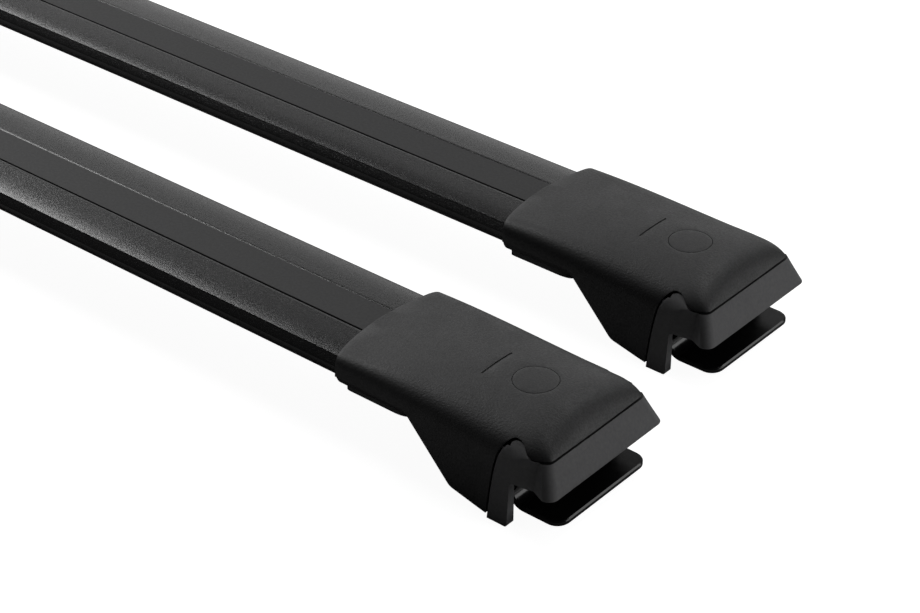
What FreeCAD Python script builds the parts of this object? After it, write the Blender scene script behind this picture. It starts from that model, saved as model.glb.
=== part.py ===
import FreeCAD, Part
import math
import os

V = FreeCAD.Vector

# Millimetres, +Z up, X along the bars, Y across them, Z = 0 at the leg tips.
# A foot is drawn in its own frame: x = 0 at the seam of its outer end, +x outwards, y = 0 mid bar.

# Layout of the pair
rail_spacing = 1000.0
bar_spacing = 158.0
bar_stagger = 18.5

# Bar extrusion
bar_width = 80.0
bar_height = 24.0
bar_bottom = 22.4
bar_crown_drop = 2.3
bar_nose_run = 4.0
bar_nose_below_top = 5.4
bar_belly_depth = 19.4
bar_wall = 2.0
bar_end_x = -72.0
edge_groove_width = 0.9
edge_groove_inset = 2.0
edge_groove_below_top = 3.4

# Slots of the extrusion
strip_width = 24.0
strip_recess_depth = 2.2
strip_gap = 0.25
strip_sink = 0.1
strip_edge_round = 0.4
strip_barb = 1.5
strip_barb_height = 2.0
slot_mouth = 11.0
slot_cavity = 20.0
slot_lip = 2.6
slot_depth = 6.5
lower_mouth = 9.0
lower_cavity = 18.0
lower_lip = 2.8
lower_depth = 6.2
chamber_start = 14.5

# Foot sections: height and width of the crown, its drop to the edge, where the shoulder starts
foot_side_low = 46.6
foot_side_high = 44.2
foot_draft_height = 42.0
foot_crown = 55.3
foot_crown_x = -39.0
foot_crown_half = 26.0
foot_crown_drop = 2.7
foot_shoulder_z = 37.0
mouth_x = -141.5
mouth_bow = 8.0
mouth_crown = 49.2
mouth_crown_half = 34.0
mouth_crown_drop = 0.6
mouth_shoulder_z = 42.0
mouth_side_less = 1.2
waist_swell = 0.9

# Outer end: the hood rolls down to the seam, the rubber skirt flares out below it
seam_half = 38.6
seam_z = 43.1
hood_power = 5.0
hood_flat_half = 35.0
hood_flat_drop = 0.3
hood_stations = 6
skirt_reach = 7.6
skirt_half = 47.6
skirt_corner = 7.0
skirt_top_drop = 3.0
flank_x = -12.0
flank_round = 24.0
seat_z = 26.6

# Leg and sleeve
sleeve_low_z = 37.3
leg_top_x = -88.0
knee_x = -56.5
knee_z = 7.2
leg_round = 7.0
leg_bottom_x = -33.2
leg_bottom_z = 2.4
pad_leg_outer_x = -19.4
pad_tip_round = 1.5
pad_notch_round = 2.5
arch_x = -20.6
arch_z = 48.4
seam_lean = 1.7
seam_shoulder = 3.7
seam_level_x = -6.0
seam_gap = 1.0
wall = 3.0
cavity_half = 41.0
cavity_ceiling = 42.4
pocket_end_x = -61.5
sleeve_wall = 2.4
bar_clearance = 0.5

# Clamp drive
bolt_x = -39.0
bolt_d = 8.0
bolt_head_d = 13.0
bolt_head_h = 8.0
bolt_socket = 6.0
bolt_length = 34.0
bolt_hole_d = 9.0
washer_d = 16.0
washer_t = 1.6
well_clearance = 0.6
cap_d = 23.6
cap_gap = 0.35
cap_skirt = 1.3
cap_skirt_depth = 2.0
thread_clearance = 0.06

# Jaw plate
jaw_t = 3.4
jaw_bottom = 4.5
jaw_reach_x = 6.1
jaw_width = 73.6
jaw_corner = 8.0
jaw_bend = 6.6
jaw_web_x = -23.6
jaw_tab_top = 26.0
jaw_tab_bend = 2.5
jaw_tab_end_x = -50.0
jaw_tab_width = 36.0
jaw_edge_chamfer = 0.8
nut_flats = 13.0
nut_h = 6.5

# Bracket
bracket_t = 4.0
bracket_back_x = -58.0
bracket_core_half = 34.2
bracket_fit = 0.3
core_back_x = -22.4
core_front_x = -2.6
core_boss_h = 4.7
pad_seat_t = 5.0
rib_t = 3.5
rib_bays = 3
screw_d = 4.8
screw_hole_d = 5.2
screw_head_d = 9.0
screw_head_h = 2.6
screw_grip = 5.0
screw_front_x = -12.5
screw_front_y = 22.0
screw_back_x = -53.0
screw_back_y = 29.0

# Bar clamp
clamp_t = 3.0
clamp_outer_x = -97.0
clamp_inner_x = -138.5
clamp_half = 34.0
clamp_round = 6.0
bar_bolt_d = 6.0
bar_bolt_hole_d = 6.4
bar_bolt_head_d = 10.5
bar_bolt_head_h = 3.6
bar_bolt_socket = 4.0
bar_bolt_pitch = 20.0
bar_bolt_inner_x = -128.0
slot_nut_width = 16.0
slot_nut_t = 5.0
slot_nut_end = 10.0
slide_clearance = 0.15

# Witness line moulded beside the cap
mark_x = -64.0
mark_length = 24.0
mark_width = 1.1
mark_depth = 0.5

# Derived values
bar_half = bar_width / 2
bar_crown_half = bar_half - bar_nose_run
bar_top = bar_bottom + bar_height
nose_z = bar_top - bar_nose_below_top
rail_seat_middle = (pad_leg_outer_x + skirt_reach) / 2
seam_x = rail_spacing / 2 - rail_seat_middle
bar_length = 2 * (seam_x + bar_end_x)
recess_floor = bar_top - strip_recess_depth
slot_roof = recess_floor - slot_lip
lower_floor = bar_bottom + lower_lip
tube_wall = bar_clearance + sleeve_wall
bolt_seat = cavity_ceiling + washer_t
plate_bottom = cavity_ceiling - bracket_t
core_bottom = seat_z + pad_seat_t
well_d = washer_d + 2 * well_clearance
cap_bottom = bolt_seat + bolt_head_h + well_clearance
tab_bottom = jaw_tab_top - jaw_t
clamp_bottom = bar_bottom - tube_wall - clamp_t
slot_nut_z = lower_floor + slide_clearance
screw_places = [(screw_front_x, screw_front_y), (screw_front_x, -screw_front_y),
                (screw_back_x, screw_back_y), (screw_back_x, -screw_back_y)]
bar_bolt_places = [bar_bolt_inner_x, bar_bolt_inner_x + bar_bolt_pitch]
far = 200.0


def arc(a, b, c):
    """Circle arc from a through b to c."""
    return Part.Arc(a, b, c).toShape()


def bezier(poles):
    """Curve from the first pole to the last that leaves and arrives along the lines to the inner poles."""
    curve = Part.BezierCurve()
    curve.setPoles(poles)
    return curve.toShape()


def rounded(points, place):
    """Closed wire through (u, v, radius) corners, each eased by its radius, put in space by place."""
    ends = []
    count = len(points)
    for i in range(count):
        u, v, r = points[i]
        here = V(u, v, 0)
        after = points[(i + 1) % count]
        back = V(points[i - 1][0], points[i - 1][1], 0).sub(here).normalize()
        ahead = V(after[0], after[1], 0).sub(here).normalize()
        if r == 0:
            ends.append((here, None, here))
            continue
        half = back.getAngle(ahead) / 2
        reach = r / math.tan(half)
        middle = back.add(ahead).normalize()
        crest = here.add(middle * (r / math.sin(half) - r))
        ends.append((here.add(back * reach), crest, here.add(ahead * reach)))
    edges = []
    for i in range(count):
        start, crest, stop = ends[i]
        if crest is not None:
            edges.append(arc(place(start), place(crest), place(stop)))
        follow = ends[(i + 1) % count][0]
        if stop.distanceToPoint(follow) > 1e-6:
            edges.append(Part.makeLine(place(stop), place(follow)))
    return Part.Wire(edges)


def side_prism(points, half):
    """Solid of an (x, z, radius) outline, from y = -half to y = half."""
    wire = rounded(points, lambda p: V(p.x, -half, p.y))
    return Part.Face(wire).extrude(V(0, 2 * half, 0))


def plan_wire(points, z):
    """Wire of an (x, y, radius) outline at the height z."""
    return rounded(points, lambda p: V(p.x, p.y, z))


def box(x0, x1, y0, y1, z0, z1):
    """Box between the given planes."""
    return Part.makeBox(x1 - x0, y1 - y0, z1 - z0, V(x0, y0, z0))


def wide_box(x0, x1, half, z0, z1):
    """Box that is even about the middle of the bar."""
    return box(x0, x1, -half, half, z0, z1)


def rod(x, y, z0, z1, d):
    """Upright round bar."""
    return Part.makeCylinder(d / 2, z1 - z0, V(x, y, z0))


def hex_bar(x, z0, z1, flats):
    """Upright six-sided bar on the middle line, of the given width across flats."""
    r = flats / math.sqrt(3)
    turns = [math.radians(60 * k) for k in range(7)]
    corners = [V(x + r * math.cos(t), r * math.sin(t), z0) for t in turns]
    return Part.Face(Part.makePolygon(corners)).extrude(V(0, 0, z1 - z0))


def bar_outline(x, grow):
    """Wing section at x, larger all round by grow: flat crown, small nose, belly of two arcs, flat keel."""
    half = bar_half + grow
    top = bar_top + grow
    depth = bar_belly_depth + grow
    keel_turn = math.asin((nose_z - bar_bottom + grow) / depth)
    turns = [keel_turn * k / 4 for k in range(5)]
    belly = [(half * math.cos(t), nose_z - depth * math.sin(t)) for t in turns]
    crown_z = top - bar_crown_drop
    pull_z = crown_z - 2 * bar_crown_drop / bar_crown_half * (half - bar_crown_half)
    shoulder = ((bar_crown_half + 3 * half) / 4, (crown_z + 2 * pull_z + nose_z) / 4)
    right = [(bar_crown_half, crown_z), shoulder] + belly
    points = [V(x, y, z) for y, z in right]
    mirror = [V(x, -y, z) for y, z in reversed(right)]
    edges = [arc(mirror[-1], V(x, 0, top), points[0])]
    edges += [arc(points[k], points[k + 1], points[k + 2]) for k in (0, 2, 4)]
    edges.append(Part.makeLine(points[-1], mirror[0]))
    edges += [arc(mirror[k], mirror[k + 1], mirror[k + 2]) for k in (0, 2, 4)]
    return Part.Wire(edges)


def bar_tube(grow, x0, x1):
    """Bar section grown by an offset, from x0 to x1."""
    return Part.Face(bar_outline(x0, grow)).extrude(V(x1 - x0, 0, 0))


def make_bar():
    """Extrusion with two side chambers, a slot on top and one under it, and a groove along each nose."""
    half = bar_length / 2
    body = bar_tube(0, -half, half)
    inside = bar_tube(-bar_wall, -half, half)
    body = body.cut(inside.cut(wide_box(-half, half, chamber_start, 0, far)))
    body = body.cut(wide_box(-half, half, strip_width / 2, recess_floor, far))
    body = body.cut(wide_box(-half, half, slot_mouth / 2, slot_roof, recess_floor))
    body = body.cut(wide_box(-half, half, slot_cavity / 2, slot_roof - slot_depth, slot_roof))
    body = body.cut(wide_box(-half, half, lower_mouth / 2, 0, lower_floor))
    body = body.cut(wide_box(-half, half, lower_cavity / 2, lower_floor, lower_floor + lower_depth))
    groove_z = bar_top - edge_groove_below_top
    grooves = wide_box(-half, half, far, groove_z - edge_groove_width / 2, groove_z + edge_groove_width / 2)
    return body.cut(grooves.cut(wide_box(-half, half, bar_half - edge_groove_inset, 0, far)))


def make_strip():
    """Rubber strip: flat flange in the recess and a rib with a barb that snaps under the slot lips."""
    flange = strip_width / 2 - strip_gap
    rib = slot_mouth / 2 - strip_gap
    barb_z = slot_roof - strip_gap
    right = [(flange, bar_top - strip_sink, strip_edge_round), (flange, recess_floor, 0),
             (rib, recess_floor, 0), (rib, barb_z, 0), (rib + strip_barb, barb_z, 0),
             (rib, barb_z - strip_barb_height, 0)]
    left = [(-y, z, r) for y, z, r in reversed(right)]
    wire = rounded(right + left, lambda p: V(-bar_length / 2, p.x, p.y))
    return Part.Face(wire).extrude(V(bar_length, 0, 0))


def foot_section(x, low, high, crown, crown_half, crown_drop, shoulder_z):
    """Cross-section of the foot: leaning sides, wide eased shoulders and a crowned top."""
    lean_side = (high - low) / foot_draft_height
    shoulder_y = low + lean_side * shoulder_z
    edge_z = crown - crown_drop
    lean_top = 2 * crown_drop / crown_half
    pull_y = low + lean_side * (shoulder_z + edge_z) / 2
    pull_z = edge_z - lean_top * (pull_y - crown_half)
    edges = [Part.makeLine(V(x, -low, 0), V(x, low, 0))]
    edges.append(Part.makeLine(V(x, low, 0), V(x, shoulder_y, shoulder_z)))
    edges.append(bezier([V(x, shoulder_y, shoulder_z), V(x, pull_y, pull_z), V(x, crown_half, edge_z)]))
    edges.append(arc(V(x, crown_half, edge_z), V(x, 0, crown), V(x, -crown_half, edge_z)))
    edges.append(bezier([V(x, -crown_half, edge_z), V(x, -pull_y, pull_z), V(x, -shoulder_y, shoulder_z)]))
    edges.append(Part.makeLine(V(x, -shoulder_y, shoulder_z), V(x, -low, 0)))
    return Part.Wire(edges)


def hood_section(share):
    """Section at a share of the way from the crown to the seam: lower, narrower and flatter, ever faster."""
    ease = share ** hood_power
    narrow = (foot_side_high - seam_half) * ease
    return foot_section(foot_crown_x * (1 - share), foot_side_low - narrow, foot_side_high - narrow,
                        foot_crown - (foot_crown - seam_z) * ease,
                        foot_crown_half + (hood_flat_half - foot_crown_half) * ease,
                        foot_crown_drop + (hood_flat_drop - foot_crown_drop) * ease, foot_shoulder_z)


def foot_loft():
    """Form of the foot, from the flat sleeve mouth over the crown to just past the seam."""
    less = mouth_side_less
    mouth = foot_section(mouth_x, foot_side_low - less, foot_side_high - less, mouth_crown,
                         mouth_crown_half, mouth_crown_drop, mouth_shoulder_z)
    waist = foot_section((mouth_x + foot_crown_x) / 2, foot_side_low - less / 2, foot_side_high - less / 2,
                         (mouth_crown + foot_crown) / 2 + waist_swell,
                         (mouth_crown_half + foot_crown_half) / 2,
                         (mouth_crown_drop + foot_crown_drop) / 2,
                         (mouth_shoulder_z + foot_shoulder_z) / 2)
    level = foot_section(0, foot_side_low, foot_side_high, foot_crown, foot_crown_half, foot_crown_drop,
                         foot_shoulder_z)
    sleeve = Part.makeLoft([mouth, waist, hood_section(0), level], True, False)
    sleeve = sleeve.common(wide_box(-far, foot_crown_x, far, -far, far))
    last = 1 - seam_gap / foot_crown_x
    hood = [hood_section(last * k / hood_stations) for k in range(hood_stations + 1)]
    return sleeve.fuse(Part.makeLoft(hood, True, False))


def skirt_outline(z):
    """Plan outline of the rubber boot at height z: straight sides, flanks that turn in, eased corners."""
    share = (seam_z - z) / (seam_z - seat_z)
    reach = skirt_reach * share
    half = seam_half + (skirt_half - seam_half) * share
    side = foot_side_low + (foot_side_high - foot_side_low) * z / foot_draft_height
    points = [(reach, -half, skirt_corner), (reach, half, skirt_corner), (flank_x, side, flank_round),
              (-far, side, 0), (-far, -side, 0), (flank_x, -side, flank_round)]
    return plan_wire(points, z)


def skirt_loft():
    """Form of the rubber boot: flared outlines up to the arch, under shoulders like the hood's."""
    walls = Part.makeLoft([skirt_outline(0), skirt_outline(arch_z)], True, True)
    outer = foot_section(2 * skirt_reach, skirt_half + skirt_reach, foot_side_high,
                         foot_crown - skirt_top_drop, foot_crown_half, foot_crown_drop, foot_shoulder_z)
    return walls.common(Part.makeLoft([hood_section(0), outer], True, True))


def mouth_side():
    """Everything outwards of the bowed mouth plane."""
    edge_x = mouth_x + mouth_bow
    bow = arc(V(edge_x, -skirt_half, 0), V(mouth_x, 0, 0), V(edge_x, skirt_half, 0))
    corners = [V(edge_x, skirt_half, 0), V(edge_x, far, 0), V(far, far, 0), V(far, -far, 0),
               V(edge_x, -far, 0), V(edge_x, -skirt_half, 0)]
    sides = [Part.makeLine(corners[i], corners[i + 1]) for i in range(len(corners) - 1)]
    return Part.Face(Part.Wire([bow] + sides)).extrude(V(0, 0, far))


def seam_region(corners, shift):
    """Prism on one side of the seam, moved out by shift: up the leg, over the arch, down in an S, level."""
    middle_x = (arch_x + seam_level_x) / 2
    rise = [(leg_bottom_x, -wall), (leg_bottom_x + seam_lean, arch_z / 2),
            (leg_bottom_x + seam_shoulder, arch_z), (arch_x, arch_z)]
    fall = [(arch_x, arch_z), (middle_x, arch_z), (middle_x, seam_z), (seam_level_x, seam_z)]
    moved = [[V(x + shift, -far, z - shift) for x, z in poles] for poles in (rise, fall)]
    last = V(skirt_reach + wall, -far, seam_z - shift)
    loop = [moved[1][-1], last] + [V(x, -far, z) for x, z in corners] + [moved[0][0]]
    sides = [Part.makeLine(loop[i], loop[i + 1]) for i in range(len(loop) - 1)]
    wire = Part.Wire([bezier(moved[0]), bezier(moved[1])] + sides)
    return Part.Face(wire).extrude(V(0, 2 * far, 0))


def leg_cavity():
    """Hollow of the leg: follows the slanted back and the floor at wall thickness, open outwards."""
    run = knee_x - leg_top_x
    rise = sleeve_low_z - knee_z
    slant = math.hypot(run, rise)
    in_x = knee_x + wall * rise / slant
    in_z = knee_z + wall * run / slant
    stop_z = in_z + (in_x - pocket_end_x) * rise / run
    points = [(far, cavity_ceiling, 0), (pocket_end_x, cavity_ceiling, 0), (pocket_end_x, stop_z, 0),
              (in_x, in_z, 0), (leg_bottom_x, leg_bottom_z + wall, 0), (far, leg_bottom_z + wall, 0)]
    hood = wide_box(core_back_x, far, far, cavity_ceiling, far)
    return side_prism(points, cavity_half).cut(hood)


def make_housing(loft, mouth):
    """Moulded body: sleeve over the bar end, crowned hood, hollow leg, well for the bolt, moulded line."""
    upper = seam_region([(skirt_reach + wall, far), (-far, far), (-far, -wall)], 0)
    outline = [(-far, sleeve_low_z, 0), (leg_top_x, sleeve_low_z, leg_round), (knee_x, knee_z, leg_round),
               (leg_bottom_x, leg_bottom_z, 0), (far, leg_bottom_z, 0), (far, far, 0), (-far, far, 0)]
    body = loft.common(mouth).common(upper).common(side_prism(outline, far))
    body = body.fuse(bar_tube(tube_wall, mouth_x, pocket_end_x - wall).common(mouth))
    boss_top = cavity_ceiling + core_boss_h
    boss = wide_box(core_back_x, core_front_x, bracket_core_half, cavity_ceiling, boss_top)
    body = body.fuse(boss.common(loft))
    body = body.cut(leg_cavity())
    body = body.cut(bar_tube(bar_clearance, mouth_x - wall, pocket_end_x))
    body = body.cut(rod(bolt_x, 0, plate_bottom, far, well_d))
    body = body.cut(rod(bolt_x, 0, cap_bottom, far, cap_d + 2 * cap_gap))
    for sx, sy in screw_places:
        body = body.cut(rod(sx, sy, plate_bottom, cavity_ceiling + screw_grip, screw_d))
    for bx in bar_bolt_places:
        body = body.cut(rod(bx, 0, 0, bar_bottom, bar_bolt_hole_d))
    sunk = loft.copy()
    sunk.translate(V(0, 0, -mark_depth))
    x0 = mark_x - mark_width / 2
    line = wide_box(x0, x0 + mark_width, mark_length / 2, bar_top, far)
    return body.cut(line.common(loft).cut(sunk))


def make_cap(loft):
    """Round plug cut from the same top surface, with a skirt that presses into the well."""
    disc = loft.common(rod(bolt_x, 0, cap_bottom, far, cap_d))
    skirt_d = well_d - 2 * thread_clearance
    skirt = rod(bolt_x, 0, cap_bottom - cap_skirt_depth, cap_bottom, skirt_d)
    return disc.fuse(skirt.cut(rod(bolt_x, 0, 0, far, skirt_d - 2 * cap_skirt)))


def make_pad():
    """Rubber boot under the seam: seat on the rail, flared skirt, two hanging edges, pocket for the core."""
    lower = seam_region([(far, seam_z), (far, -wall)], seam_gap)
    outline = [(far, seat_z, 0), (far, far, 0), (-far, far, 0), (-far, 0, 0),
               (pad_leg_outer_x, 0, pad_tip_round), (pad_leg_outer_x, seat_z, pad_notch_round)]
    body = skirt_loft().common(lower).common(side_prism(outline, far))
    body = body.cut(wide_box(-far, core_back_x, cavity_half, -wall, far))
    body = body.cut(wide_box(-far, pad_leg_outer_x + pad_notch_round, cavity_half, -wall, seat_z))
    pocket_half = bracket_core_half + bracket_fit
    return body.cut(wide_box(core_back_x - wall, core_front_x + bracket_fit, pocket_half, core_bottom, far))


def make_bracket():
    """Casting: bolt plate at the back, ribbed core over the rail seat."""
    plate = wide_box(bracket_back_x, core_back_x, cavity_half - bracket_fit, plate_bottom, cavity_ceiling)
    core = wide_box(core_back_x, core_front_x, bracket_core_half, core_bottom, cavity_ceiling)
    bay = (2 * bracket_core_half - (rib_bays + 1) * rib_t) / rib_bays
    for k in range(rib_bays):
        y0 = -bracket_core_half + rib_t + k * (bay + rib_t)
        core = core.cut(box(core_back_x + rib_t, core_front_x - rib_t, y0, y0 + bay, 0, plate_bottom))
    body = plate.fuse(core).removeSplitter()
    body = body.cut(rod(bolt_x, 0, 0, far, bolt_hole_d))
    for sx, sy in screw_places:
        body = body.cut(rod(sx, sy, 0, far, screw_hole_d))
    return body


def make_bracket_screws():
    """Four screws up through the bracket into the housing."""
    solids = []
    for sx, sy in screw_places:
        head = rod(sx, sy, plate_bottom - screw_head_h, plate_bottom, screw_head_d)
        solids.append(head.fuse(rod(sx, sy, plate_bottom, cavity_ceiling + screw_grip, screw_d)))
    return Part.makeCompound(solids)


def make_jaw_bolt():
    """Socket-head bolt with a plain shank."""
    shank = rod(bolt_x, 0, bolt_seat - bolt_length, bolt_seat, bolt_d)
    head = rod(bolt_x, 0, bolt_seat, bolt_seat + bolt_head_h, bolt_head_d)
    return shank.fuse(head.cut(hex_bar(bolt_x, bolt_seat + bolt_head_h / 2, far, bolt_socket)))


def make_washer():
    """Flat washer under the bolt head."""
    return rod(bolt_x, 0, cavity_ceiling, bolt_seat, washer_d).cut(rod(bolt_x, 0, 0, far, bolt_hole_d))


def make_jaw_nut():
    """Hexagon nut under the jaw's tab."""
    nut = hex_bar(bolt_x, tab_bottom - nut_h, tab_bottom, nut_flats)
    return nut.cut(rod(bolt_x, 0, 0, far, bolt_d + 2 * thread_clearance))


def make_jaw():
    """Steel plate bent twice: wide hook under the rail, narrow tab back to the bolt."""
    half = jaw_width / 2
    web_back = jaw_web_x - jaw_t
    outer_bend = jaw_bend + jaw_t
    outline = [(jaw_reach_x, jaw_bottom, 0), (jaw_reach_x, jaw_bottom + jaw_t, 0),
               (jaw_web_x, jaw_bottom + jaw_t, jaw_bend), (jaw_web_x, jaw_tab_top, jaw_tab_bend + jaw_t),
               (jaw_tab_end_x, jaw_tab_top, 0), (jaw_tab_end_x, tab_bottom, 0),
               (web_back, tab_bottom, jaw_tab_bend), (web_back, jaw_bottom, outer_bend)]
    plan = [(jaw_reach_x, -half, jaw_corner), (jaw_reach_x, half, jaw_corner), (-far, half, 0),
            (-far, -half, 0)]
    plate = side_prism(outline, half).common(Part.Face(plan_wire(plan, 0)).extrude(V(0, 0, far)))
    hook_x = jaw_web_x + jaw_bend
    rim = [e for e in plate.Edges if e.BoundBox.XMin > hook_x - 0.1 and e.BoundBox.ZLength < jaw_t / 2]
    plate = plate.makeChamfer(jaw_edge_chamfer, [e for e in rim if e.BoundBox.XMax > hook_x + 0.1])
    sides = wide_box(-far, jaw_web_x + jaw_t, far, jaw_bottom + outer_bend, far)
    plate = plate.cut(sides.cut(wide_box(-far, far, jaw_tab_width / 2, 0, far)))
    return plate.cut(rod(bolt_x, 0, 0, far, bolt_hole_d))


def make_bar_clamp():
    """Curved plate under the sleeve, with two bolt holes."""
    body = bar_tube(tube_wall + clamp_t, clamp_inner_x, clamp_outer_x)
    body = body.cut(bar_tube(tube_wall, clamp_inner_x, clamp_outer_x))
    plan = [(clamp_outer_x, -clamp_half, clamp_round), (clamp_outer_x, clamp_half, clamp_round),
            (clamp_inner_x, clamp_half, clamp_round), (clamp_inner_x, -clamp_half, clamp_round)]
    body = body.common(Part.Face(plan_wire(plan, 0)).extrude(V(0, 0, nose_z)))
    for bx in bar_bolt_places:
        body = body.cut(rod(bx, 0, 0, far, bar_bolt_hole_d))
    return body


def make_bar_bolts():
    """Two low-head bolts from below into the slot nut."""
    solids = []
    for bx in bar_bolt_places:
        shank = rod(bx, 0, clamp_bottom, slot_nut_z + slot_nut_t, bar_bolt_d)
        head = rod(bx, 0, clamp_bottom - bar_bolt_head_h, clamp_bottom, bar_bolt_head_d)
        socket = hex_bar(bx, 0, clamp_bottom - bar_bolt_head_h / 2, bar_bolt_socket)
        solids.append(shank.fuse(head.cut(socket)))
    return Part.makeCompound(solids)


def make_slot_nut():
    """Flat nut bar that runs in the lower slot."""
    x0 = bar_bolt_places[0] - slot_nut_end
    x1 = bar_bolt_places[1] + slot_nut_end
    body = wide_box(x0, x1, slot_nut_width / 2, slot_nut_z, slot_nut_z + slot_nut_t)
    for bx in bar_bolt_places:
        body = body.cut(rod(bx, 0, 0, far, bar_bolt_d + 2 * thread_clearance))
    return body


def make_foot():
    """All pieces of one foot, keyed by name, in the foot's own frame."""
    loft = foot_loft()
    return {"housing": make_housing(loft, mouth_side()), "key_cap": make_cap(loft),
            "rail_pad": make_pad(), "bracket": make_bracket(),
            "bracket_screws": make_bracket_screws(), "jaw_bolt": make_jaw_bolt(),
            "bolt_washer": make_washer(), "jaw_nut": make_jaw_nut(), "jaw": make_jaw(),
            "bar_clamp": make_bar_clamp(), "bar_bolts": make_bar_bolts(), "slot_nut": make_slot_nut()}


os.makedirs("parts", exist_ok=True)
foot = make_foot()
long_pieces = {"bar": make_bar(), "strip": make_strip()}
for row, side in (("front", -1), ("rear", 1)):
    shift = V(-side * bar_stagger / 2, side * bar_spacing / 2, 0)
    for name, shape in long_pieces.items():
        placed = shape.copy()
        placed.translate(shift)
        placed.exportStep("parts/" + row + "_" + name + ".step")
    for end, turn in (("right", 0), ("left", 180)):
        for name, shape in foot.items():
            placed = shape.copy()
            placed.translate(V(seam_x, 0, 0))
            placed.rotate(V(0, 0, 0), V(0, 0, 1), turn)
            placed.translate(shift)
            placed.exportStep("parts/" + row + "_" + end + "_" + name + ".step")
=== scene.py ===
# %% [markdown]
# # A pair of roof crossbars
#
# Two black wing-section bars stand on low plastic feet. Each foot sits on a rubber pad and hooks a steel jaw
# under a roof rail. The solids come from the CAD frame, in metres, and the pieces below take their places
# from them.

# %% Load the frame
import math
import bpy
import numpy as np
from mathutils import Matrix, Vector


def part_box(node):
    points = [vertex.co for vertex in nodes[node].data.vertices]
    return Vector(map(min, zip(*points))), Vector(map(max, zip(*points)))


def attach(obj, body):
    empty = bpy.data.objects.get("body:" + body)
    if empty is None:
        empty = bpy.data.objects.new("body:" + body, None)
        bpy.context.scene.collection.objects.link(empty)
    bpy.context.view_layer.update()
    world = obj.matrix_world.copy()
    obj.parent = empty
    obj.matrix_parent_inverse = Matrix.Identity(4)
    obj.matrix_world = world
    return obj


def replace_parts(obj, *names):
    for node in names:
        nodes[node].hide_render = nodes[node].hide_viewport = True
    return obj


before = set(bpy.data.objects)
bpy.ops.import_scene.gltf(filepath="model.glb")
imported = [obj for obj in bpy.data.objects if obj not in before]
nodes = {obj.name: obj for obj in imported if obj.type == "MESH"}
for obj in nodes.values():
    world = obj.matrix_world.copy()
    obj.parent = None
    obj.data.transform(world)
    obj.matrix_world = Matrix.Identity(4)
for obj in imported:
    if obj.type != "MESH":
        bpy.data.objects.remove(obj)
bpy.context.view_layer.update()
feet = [row + "_" + end for row in ("front", "rear") for end in ("right", "left")]
print("CAD nodes:", len(nodes), "feet:", feet)

# %% [markdown]
# ## Colours and nodes
#
# Colours are written as they would be picked on a screen. Blender works in linear light, so one function
# turns a hex value into linear numbers. A second one adds a shader node, sets its inputs and links it, which
# keeps each material to a few lines.

# %% Colour and node helpers
MM = 0.001


def linear(hex_colour):
    """sRGB hex to linear RGBA: below 0.04045 a straight line, above it a power of 2.4."""
    srgb = np.array([int(hex_colour[i:i + 2], 16) for i in (1, 3, 5)]) / 255.0
    low = srgb / 12.92
    high = ((srgb + 0.055) / 1.055) ** 2.4
    return tuple(np.where(srgb <= 0.04045, low, high)) + (1.0,)


def add(tree, kind, settings=None, **inputs):
    """Adds one node. Settings are its properties, inputs its sockets: a value, or a socket to link from."""
    node = tree.nodes.new(kind)
    for name, value in (settings or {}).items():
        setattr(node, name, value)
    for name, value in inputs.items():
        socket = node.inputs[name.replace("_", " ")]
        if isinstance(value, bpy.types.NodeSocket):
            tree.links.new(value, socket)
        else:
            socket.default_value = value
    return node


def start(name):
    """A new material with an empty tree, its Object coordinates and its output node."""
    material = bpy.data.materials.new(name)
    material.use_nodes = True
    tree = material.node_tree
    tree.nodes.clear()
    place = add(tree, "ShaderNodeTexCoord").outputs["Object"]
    return material, tree, place, add(tree, "ShaderNodeOutputMaterial")


def per_metre(size_mm):
    """Texture scale that repeats once in the given size."""
    return 1.0 / (size_mm * MM)


# %% [markdown]
# ## Finishes
#
# The real bars are extruded aluminium under a fine textured powder coat. The feet are moulded in a filled
# nylon with a spark-eroded grain, the pads and strips are smooth rubber, and the jaws are steel under a gloss
# coat. A photograph of black things shows mostly gloss, so roughness and grain matter more than colour.

# %% Grained blacks
PATCH_MM = 22.0
GRAIN_HEIGHT_MM = 0.2
DARK_AT, LIGHT_AT = 0.35, 0.7
NOISE_LOW, NOISE_HIGH = 0.3, 0.7
# Painted shade in a joint: faces whose normal points up past the first value start to darken, and are black
# at the second.
JOINT_SHADE_FROM, JOINT_SHADE_FULL = 0.8, 0.95
# The Mix node's colour sockets share their names with others, so they go by number.
MIX_COLOUR_A, MIX_COLOUR_B, MIX_COLOUR_OUT = 6, 7, 2


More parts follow.
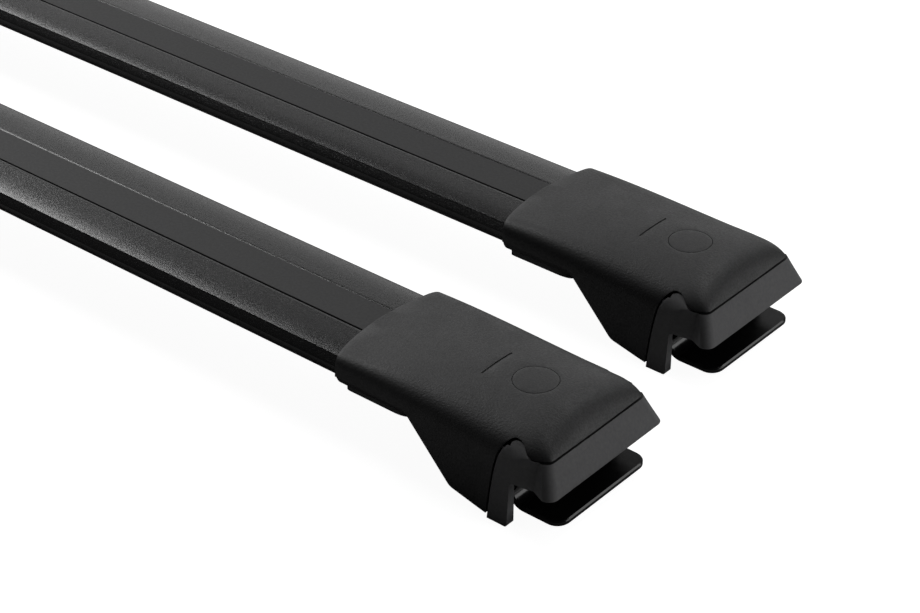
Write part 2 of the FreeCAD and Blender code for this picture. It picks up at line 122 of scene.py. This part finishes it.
def grained(name, dark, light, grain_mm, depth, rough, spread, patchy=0.0, joint=False):
    """Black coat or moulding: a fine noise lifts the surface. The same noise, mixed with a slow one by the
    share patchy, varies the colour and the roughness. When asked, faces that look straight up are painted
    black: painted shade for the inside of a closed joint."""
    material, tree, place, out = start(name)
    grain = add(tree, "ShaderNodeTexNoise", Vector=place, Scale=per_metre(grain_mm), Detail=3.0,
                Roughness=0.6)
    patch = add(tree, "ShaderNodeTexNoise", Vector=place, Scale=per_metre(PATCH_MM), Detail=4.0,
                Roughness=0.7)
    uneven = add(tree, "ShaderNodeMix", Factor=patchy)
    tree.links.new(grain.outputs["Fac"], uneven.inputs["A"])
    tree.links.new(patch.outputs["Fac"], uneven.inputs["B"])
    spots = uneven.outputs["Result"]
    tone = add(tree, "ShaderNodeValToRGB", Fac=spots)
    tone.color_ramp.elements[0].position = DARK_AT
    tone.color_ramp.elements[0].color = linear(dark)
    tone.color_ramp.elements[1].position = LIGHT_AT
    tone.color_ramp.elements[1].color = linear(light)
    gloss = add(tree, "ShaderNodeMapRange", Value=spots, From_Min=NOISE_LOW, From_Max=NOISE_HIGH,
                To_Min=rough + spread, To_Max=rough - spread)
    lift = add(tree, "ShaderNodeBump", Height=grain.outputs["Fac"], Strength=depth,
               Distance=GRAIN_HEIGHT_MM * MM)
    colour = tone.outputs["Color"]
    # Painted shade: faces that look straight up go black, standing in for the shade inside the joint.
    if joint:
        facing = add(tree, "ShaderNodeNewGeometry").outputs["True Normal"]
        upward = add(tree, "ShaderNodeSeparateXYZ", Vector=facing).outputs["Z"]
        shade = add(tree, "ShaderNodeMapRange", Value=upward, From_Min=JOINT_SHADE_FROM, From_Max=JOINT_SHADE_FULL,
                    To_Min=1.0, To_Max=0.0)
        painted_shade_mix = add(tree, "ShaderNodeMix", {"data_type": "RGBA", "blend_type": "MULTIPLY"})
        painted_shade_mix.inputs["Factor"].default_value = 1.0
        tree.links.new(colour, painted_shade_mix.inputs[MIX_COLOUR_A])
        tree.links.new(shade.outputs["Result"], painted_shade_mix.inputs[MIX_COLOUR_B])
        colour = painted_shade_mix.outputs[MIX_COLOUR_OUT]
    coat = add(tree, "ShaderNodeBsdfPrincipled", Base_Color=colour,
               Roughness=gloss.outputs["Result"], Normal=lift.outputs["Normal"], IOR=1.5)
    tree.links.new(coat.outputs["BSDF"], out.inputs["Surface"])
    return material


# Grain sizes are drawn two to three times coarser than the real ones, so that they show at this distance.
# Powder coat: low roughness under a strong fine grain, so that its highlight breaks up into sparkle.
powder_coat = grained("powder_coat_on_aluminium", "#080809", "#131314", grain_mm=0.6, depth=0.65,
                      rough=0.24, spread=0.09)
# Spark-grained nylon: a wide dull sheen on the hood, with slow patches as of handling.
nylon_grain = grained("spark_grained_nylon", "#151516", "#272728", grain_mm=1.1, depth=1.0,
                      rough=0.52, spread=0.1, patchy=0.35)
# Fine-grained nylon: a shallower grain than the hood's, so that the cap reads as a piece of its own.
nylon_fine = grained("fine_grained_nylon", "#161617", "#242425", grain_mm=0.9, depth=0.7,
                     rough=0.54, spread=0.06, patchy=0.3)
# Clamp nylon: lighter than the housing, so that its edge shows under the sleeve.
nylon_clamp = grained("clamp_nylon", "#333334", "#414142", grain_mm=1.1, depth=0.25,
                      rough=0.55, spread=0.06)
# Extruded rubber: matt and even, a calm band between the sparkling halves of the bar.
strip_rubber = grained("extruded_epdm_rubber", "#161617", "#1d1d1e", grain_mm=1.6, depth=0.08,
                       rough=0.6, spread=0.04)
# Moulded rubber: the lightest of the blacks, matt, with painted shade, black, on the faces that look up into
# the joint where the hood closes on it.
pad_rubber = grained("moulded_pad_rubber", "#5a5a5b", "#636364", grain_mm=1.8, depth=0.1,
                     rough=0.7, spread=0.04, patchy=0.3, joint=True)
print("grained finishes:", powder_coat.name, nylon_grain.name, pad_rubber.name)


# %% Metals and gloss coat
SHEEN_SPREAD = 0.15


def smooth(name, colour, rough, metallic, ripple_mm, depth):
    """Gloss coat or bare metal: one colour, with a slow ripple that bends its reflections and varies their
    blur a little."""
    material, tree, place, out = start(name)
    wave = add(tree, "ShaderNodeTexNoise", Vector=place, Scale=per_metre(ripple_mm), Detail=2.0)
    sheen = add(tree, "ShaderNodeMapRange", Value=wave.outputs["Fac"], From_Min=NOISE_LOW,
                From_Max=NOISE_HIGH, To_Min=rough * (1 - SHEEN_SPREAD), To_Max=rough * (1 + SHEEN_SPREAD))
    lift = add(tree, "ShaderNodeBump", Height=wave.outputs["Fac"], Strength=depth,
               Distance=GRAIN_HEIGHT_MM * MM)
    skin = add(tree, "ShaderNodeBsdfPrincipled", Base_Color=linear(colour), Metallic=metallic,
               Roughness=sheen.outputs["Result"], Normal=lift.outputs["Normal"])
    tree.links.new(skin.outputs["BSDF"], out.inputs["Surface"])
    return material


# Gloss coat: near black, with clear reflections that draw the jaw's rim as thin lines.
jaw_gloss = smooth("gloss_coat_on_steel", "#0a0a0b", rough=0.2, metallic=0.0, ripple_mm=6.0, depth=0.05)
# Die-cast aluminium: a grey satin, seen only inside the foot.
cast_metal = smooth("die_cast_aluminium", "#b4b5b8", rough=0.42, metallic=1.0, ripple_mm=1.5, depth=0.2)
# Zinc plate: bright and cool, marks the fasteners.
zinc_plate = smooth("zinc_plated_steel", "#b9babd", rough=0.3, metallic=1.0, ripple_mm=1.2, depth=0.1)
print("smooth finishes:", jaw_gloss.name, cast_metal.name, zinc_plate.name)

# %% Dress the CAD nodes
finishes = {"bar": powder_coat, "strip": strip_rubber, "housing": nylon_grain, "key_cap": nylon_fine,
            "bar_clamp": nylon_clamp, "rail_pad": pad_rubber, "jaw": jaw_gloss, "bracket": cast_metal,
            "bracket_screws": zinc_plate, "jaw_bolt": zinc_plate, "jaw_nut": zinc_plate,
            "bolt_washer": zinc_plate, "bar_bolts": zinc_plate, "slot_nut": zinc_plate}


def kind_of(node):
    """The piece's own name, without the row and end that it belongs to."""
    for foot in feet:
        if node.startswith(foot + "_"):
            return node[len(foot) + 1:]
    return node.split("_", 1)[1]


for name, piece in nodes.items():
    piece.data.materials.clear()
    piece.data.materials.append(finishes[kind_of(name)])
print("dressed", len(nodes), "nodes")

# %% [markdown]
# ## The bars' skin
#
# An extrusion shows its die in thin lines: the lips of the strip's recess and a fine groove near each edge,
# where the crown ends and the nose begins. The crown leans away from the strip and bends more towards its
# edges, which is why the highlight sits there. The section is a closed line of points, and the bar is that
# line drawn along X, as the die draws it. The CAD bar stays underneath for collision, and this skin takes its
# place to the eye.

# %% Wing section and sweep
# Millimetres, in the section: heights above the floor, widths from the middle of the bar.
BAR_WIDTH, BAR_TOP, BAR_BOTTOM = 80.0, 46.4, 22.4
RECESS_HALF, RECESS_DEPTH, LIP_RUN, LIP_RISE = 12.0, 2.2, 0.9, 0.33
CROWN_LEAN, CROWN_FALL, CROWN_EDGE, CROWN_POWER = 0.8, 1.2, 35.5, 4
GROOVE_WIDTH, GROOVE_DEPTH = 0.5, 0.8
NOSE_Z, NOSE_STEP, NOSE_RUN, NOSE_SLOPE = 40.4, 0.05, 3.6, 0.85
BELLY_Z, BELLY_DEPTH = 41.0, 19.4
TOP_SLOT = [(5.5, 44.2), (5.5, 41.6), (10.0, 41.6), (10.0, 35.1)]
LOWER_SLOT = [(9.0, 31.4), (9.0, 25.2), (4.5, 25.2), (4.5, BAR_BOTTOM)]
CROWN_POINTS, NOSE_POINTS, BELLY_POINTS = 24, 14, 24
SHARP_TURN = math.radians(30)


def half_section():
    """Right half of the section in mm, from the top slot round to the lower slot: the crown leans evenly and
    also falls as the fourth power of the way to its edge, the nose bends from steep to upright as a
    second-degree curve with one pull point, and the belly is a part of a flat ellipse."""
    y = np.linspace(RECESS_HALF + LIP_RUN, CROWN_EDGE, CROWN_POINTS)
    share = (y - RECESS_HALF) / (CROWN_EDGE - RECESS_HALF)
    level = BAR_TOP - LIP_RISE
    crown = np.column_stack([y, level - CROWN_LEAN * share - CROWN_FALL * share ** CROWN_POWER])
    edge_z = crown[-1, 1]
    floor_of_recess = BAR_TOP - RECESS_DEPTH
    recess = np.array([(RECESS_HALF, floor_of_recess), (RECESS_HALF, level - LIP_RISE)])
    nose_y = CROWN_EDGE + GROOVE_WIDTH
    groove = np.array([(CROWN_EDGE, edge_z - GROOVE_DEPTH), (nose_y, edge_z - GROOVE_DEPTH)])
    upper = np.arcsin((BELLY_Z - NOSE_Z) / BELLY_DEPTH)
    lower = np.arcsin((BELLY_Z - BAR_BOTTOM) / BELLY_DEPTH)
    turn = np.linspace(upper, lower, BELLY_POINTS)
    belly = np.column_stack([BAR_WIDTH / 2 * np.cos(turn), BELLY_Z - BELLY_DEPTH * np.sin(turn)])
    first = np.array((nose_y, edge_z - NOSE_STEP))
    pull = first + (NOSE_RUN, -NOSE_RUN * NOSE_SLOPE)
    t = np.linspace(0, 1, NOSE_POINTS)[:-1, None]
    nose = (1 - t) ** 2 * first + 2 * t * (1 - t) * pull + t ** 2 * belly[0]
    return np.vstack([TOP_SLOT[::-1], recess, crown, groove, nose, belly, LOWER_SLOT[::-1]])


def swept_bar(name, node):
    """The section and its mirror image as one closed loop, drawn from end to end of the CAD node along X."""
    low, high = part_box(node)
    right = half_section()
    loop = np.vstack([right, right[::-1] * (-1, 1)]) * MM
    count = len(loop)
    middle = (low[1] + high[1]) / 2
    points = np.empty((2, count, 3))
    points[:, :, 1] = middle + loop[:, 0]
    points[:, :, 2] = loop[:, 1]
    points[0, :, 0], points[1, :, 0] = low[0], high[0]
    here = np.arange(count)
    after = (here + 1) % count
    sides = np.column_stack([here, after, after + count, here + count])
    mesh = bpy.data.meshes.new(name)
    faces = sides[:, ::-1].tolist() + [here.tolist(), (here + count)[::-1].tolist()]
    mesh.from_pydata(points.reshape(-1, 3).tolist(), [], faces)
    mesh.shade_smooth()
    mesh.set_sharp_from_angle(angle=SHARP_TURN)
    mesh.materials.append(powder_coat)
    bar = bpy.data.objects.new(name, mesh)
    bpy.context.scene.collection.objects.link(bar)
    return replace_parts(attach(bar, "bars"), node)


for row in ("front", "rear"):
    skin = swept_bar(row + "_bar_skin", row + "_bar")
    print(skin.name, len(skin.data.vertices), "points,", len(skin.data.polygons), "faces")

# %% [markdown]
# ## Soft edges
#
# No moulded or coated edge is sharp, and a tiny round is what catches the light as a thin line. The CAD
# solids keep crisp edges, so a weld joins their triangles and a bevel rounds every edge that turns by more
# than a set angle. The widths are about half a millimetre, less on the strip and more round the cap.

# %% Rounded edges on the CAD nodes
EDGE_ROUND_MM = {"housing": 0.6, "rail_pad": 0.5, "strip": 0.3, "jaw": 0.5, "bar_clamp": 0.6,
                 "key_cap": 1.2}
EDGE_TURN = math.radians(35)
EDGE_STEPS = 3
WELD_MM = 0.002


def soften(piece, width_mm):
    """Weld, then bevel: an edge sharper than EDGE_TURN becomes a round of EDGE_STEPS steps."""
    weld = piece.modifiers.new("weld", "WELD")
    weld.merge_threshold = WELD_MM * MM
    bevel = piece.modifiers.new("soft_edges", "BEVEL")
    bevel.width = width_mm * MM
    bevel.segments = EDGE_STEPS
    bevel.limit_method = "ANGLE"
    bevel.angle_limit = EDGE_TURN
    bevel.harden_normals = True


for name, piece in nodes.items():
    if kind_of(name) in EDGE_ROUND_MM:
        soften(piece, EDGE_ROUND_MM[kind_of(name)])
print("rounded edges on", sum(kind_of(name) in EDGE_ROUND_MM for name in nodes), "nodes")

# %% [markdown]
# ## Floor, light and camera
#
# The product stands on a white sweep. Black gloss shows what it mirrors, so the light is planned by
# reflection: the front shoulder of a bar mirrors the upper left, where the key soft box stands. The rear
# halves of the tops mirror the room behind, which is lighter. A fill soft box low on the right lights the
# ends of the feet, and a third one above and behind shows on the hoods. The sides mirror the floor in front,
# which is dim to them: it glows for the camera only, so that it reads white without lighting the sides.

# %% Floor and world
FLOOR_HALF = 30.0
FLOOR_GLOW = 0.95
# Each ramp of the room: from and to in the cosine to its bright side, then the strength at both.
WIDE_FROM, WIDE_TO, WIDE_LOW, WIDE_HIGH = -0.2, 1.0, 0.02, 0.2
NARROW_FROM, NARROW_TO, NARROW_LOW, NARROW_HIGH = 0.77, 0.93, 0.0, 0.9


def sheet_of_floor(half, z):
    """A square at height z: the four corners of [-half, half] in x and y."""
    corners = np.array([(-half, -half, z), (half, -half, z), (half, half, z), (-half, half, z)])
    mesh = bpy.data.meshes.new("floor")
    mesh.from_pydata(corners.tolist(), [], [(0, 1, 2, 3)])
    floor = bpy.data.objects.new("floor", mesh)
    bpy.context.scene.collection.objects.link(floor)
    return floor


floor = sheet_of_floor(FLOOR_HALF, 0.0)
paper, tree, _, out = start("white_paper_sweep")
path = add(tree, "ShaderNodeLightPath")
matt = add(tree, "ShaderNodeBsdfDiffuse", Color=linear("#a6a6a6"))
level = add(tree, "ShaderNodeMath", {"operation": "MULTIPLY"})
tree.links.new(path.outputs["Is Camera Ray"], level.inputs[0])
level.inputs[1].default_value = FLOOR_GLOW
glow = add(tree, "ShaderNodeEmission", Color=(1, 1, 1, 1), Strength=level.outputs["Value"])
both = add(tree, "ShaderNodeAddShader")
tree.links.new(matt.outputs["BSDF"], both.inputs[0])
tree.links.new(glow.outputs["Emission"], both.inputs[1])
tree.links.new(both.outputs["Shader"], out.inputs["Surface"])
floor.data.materials.append(paper)

# The room is dim in front and lighter behind to the left, where the flat tops mirror it.
BRIGHT_SIDE = Vector((-0.64, 0.76, -0.08)).normalized()
room = bpy.data.worlds.new("white_room")
room.use_nodes = True
bpy.context.scene.world = room
tree = room.node_tree
tree.nodes.clear()
path = add(tree, "ShaderNodeLightPath")
way = add(tree, "ShaderNodeTexCoord").outputs["Generated"]
facing = add(tree, "ShaderNodeVectorMath", {"operation": "DOT_PRODUCT"})
tree.links.new(way, facing.inputs[0])
facing.inputs[1].default_value = BRIGHT_SIDE
wide = add(tree, "ShaderNodeMapRange", Value=facing.outputs["Value"], From_Min=WIDE_FROM, From_Max=WIDE_TO,
           To_Min=WIDE_LOW, To_Max=WIDE_HIGH)
narrow = add(tree, "ShaderNodeMapRange", Value=facing.outputs["Value"], From_Min=NARROW_FROM,
             From_Max=NARROW_TO, To_Min=NARROW_LOW, To_Max=NARROW_HIGH)
dim = add(tree, "ShaderNodeMath", {"operation": "ADD"})
tree.links.new(wide.outputs["Result"], dim.inputs[0])
tree.links.new(narrow.outputs["Result"], dim.inputs[1])
white = add(tree, "ShaderNodeMapRange", Value=path.outputs["Is Camera Ray"],
            To_Min=dim.outputs["Value"], To_Max=1.0)
air = add(tree, "ShaderNodeBackground", Color=(1, 1, 1, 1), Strength=white.outputs["Result"])
tree.links.new(air.outputs["Background"], add(tree, "ShaderNodeOutputWorld").inputs["Surface"])
bpy.context.scene.view_settings.view_transform = "Standard"
print("floor and room ready")


# %% Lights
def soft_box(name, towards, distance, size, watts):
    """Square area lamp: stands at distance along the direction towards it and faces the frame's origin."""
    lamp = bpy.data.lights.new(name, "AREA")
    lamp.size = size
    lamp.energy = watts
    thing = bpy.data.objects.new(name, lamp)
    thing.location = Vector(towards).normalized() * distance
    thing.rotation_euler = (-thing.location).to_track_quat("-Z", "Y").to_euler()
    bpy.context.scene.collection.objects.link(thing)
    return thing


key = soft_box("key_soft_box", (-0.72, 0.15, 0.66), distance=2.6, size=0.9, watts=28.0)
fill = soft_box("fill_soft_box", (0.86, 0.48, 0.17), distance=2.6, size=1.8, watts=22.0)
crown_light = soft_box("crown_soft_box", (0.17, 0.58, 0.79), distance=2.0, size=1.0, watts=8.0)
for lamp in (key, fill, crown_light):
    print(lamp.name, "at", [round(v, 2) for v in lamp.location])

# %% Camera
IMAGE_WIDTH = 920
FOCAL_PIXELS = 2449.1
SENSOR_MM = 36.0
TILT, TURN, ROLL = math.radians(32.68), math.radians(39.77), math.radians(0.17)
EYE = Vector((1.08815, -0.8734, 0.7407))

across = Vector((math.cos(TURN), math.sin(TURN), 0.0))
ahead = Vector((-math.sin(TURN) * math.cos(TILT), math.cos(TURN) * math.cos(TILT), -math.sin(TILT)))
upward = across.cross(ahead)
right = across * math.cos(ROLL) + upward * math.sin(ROLL)
top = upward * math.cos(ROLL) - across * math.sin(ROLL)
lens = bpy.data.cameras.new("photo_view")
lens.sensor_fit = "HORIZONTAL"
lens.sensor_width = SENSOR_MM
lens.lens = FOCAL_PIXELS / IMAGE_WIDTH * SENSOR_MM
camera = bpy.data.objects.new("photo_view", lens)
camera.matrix_world = Matrix.Translation(EYE) @ Matrix((right, top, -ahead)).transposed().to_4x4()
bpy.context.scene.collection.objects.link(camera)
bpy.context.scene.camera = camera
print("camera lens", round(lens.lens, 1), "mm")
